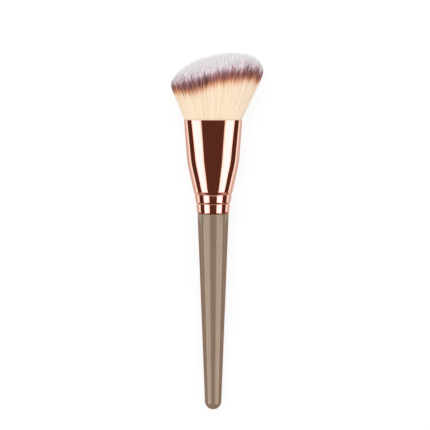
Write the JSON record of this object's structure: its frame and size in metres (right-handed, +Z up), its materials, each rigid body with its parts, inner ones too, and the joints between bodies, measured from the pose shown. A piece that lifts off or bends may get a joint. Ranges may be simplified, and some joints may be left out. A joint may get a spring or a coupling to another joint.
{
  "type": "contour brush",
  "caption": "Angled makeup brush: tapered round handle, drawn ferrule pressed oval at its mouth, and a fanned tuft cut on a slanted dome.",
  "frame": {"origin": "on the surface that the brush lies on, under the middle of the whole brush's box", "axes": "+Y along the brush from butt to tuft, +X towards the toe (the long side of the slanted tuft), +Z up from the surface"},
  "size_m": [0.0462, 0.182, 0.0256],
  "materials": {
    "lacquered_wood": "turned wood under a smooth satin taupe lacquer",
    "rose_metal": "drawn and polished, anodised rose",
    "cast_glue": "cast epoxy, amber, hidden in the ferrule",
    "dyed_fibre": "fine tapered synthetic fibres, cream at the root, then a brown band, and silvery white tips"
  },
  "bodies": {
    "root": {"handle": "lacquered_wood", "ferrule": "rose_metal", "glue_plug": "cast_glue", "bristle_tuft": "dyed_fibre"}
  },
  "joints": []
}
